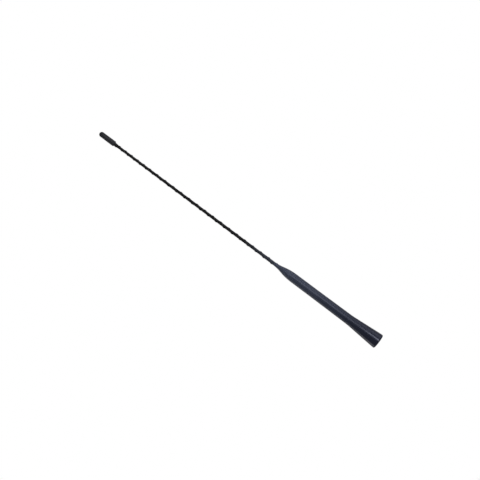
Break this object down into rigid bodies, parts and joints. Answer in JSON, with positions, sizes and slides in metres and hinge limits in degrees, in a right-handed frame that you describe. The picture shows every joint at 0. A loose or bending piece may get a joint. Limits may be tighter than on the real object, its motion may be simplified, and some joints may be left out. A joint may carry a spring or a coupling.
{
  "type": "car mast aerial",
  "caption": "Screw-on roof mast aerial for a car: a slim whip with a winding ridge, a small domed cap and a moulded grip that flares to a threaded foot.",
  "frame": {"origin": "centre of the foot's rim, in the plane where the foot meets the roof base", "axes": "+Z along the mast from the foot to the tip; -Y faces the side that the picture shows"},
  "size_m": [0.0182, 0.0182, 0.4],
  "materials": {
    "grip_rubber": "satin moulded rubber, bluish charcoal",
    "turned_brass": "turned brass, lightly dulled",
    "glass_fibre": "pale glass-fibre rod",
    "enamelled_copper": "copper wire with clear brown enamel",
    "sleeve_black": "black shrunk sleeve, satin",
    "cap_plastic": "moulded dark grey plastic, fine matt"
  },
  "bodies": {
    "root": {"boot": "grip_rubber", "foot_insert": "turned_brass", "core_rod": "glass_fibre", "antenna_wire": "enamelled_copper", "sheath": "sleeve_black", "tip_cap": "cap_plastic"}
  },
  "joints": []
}
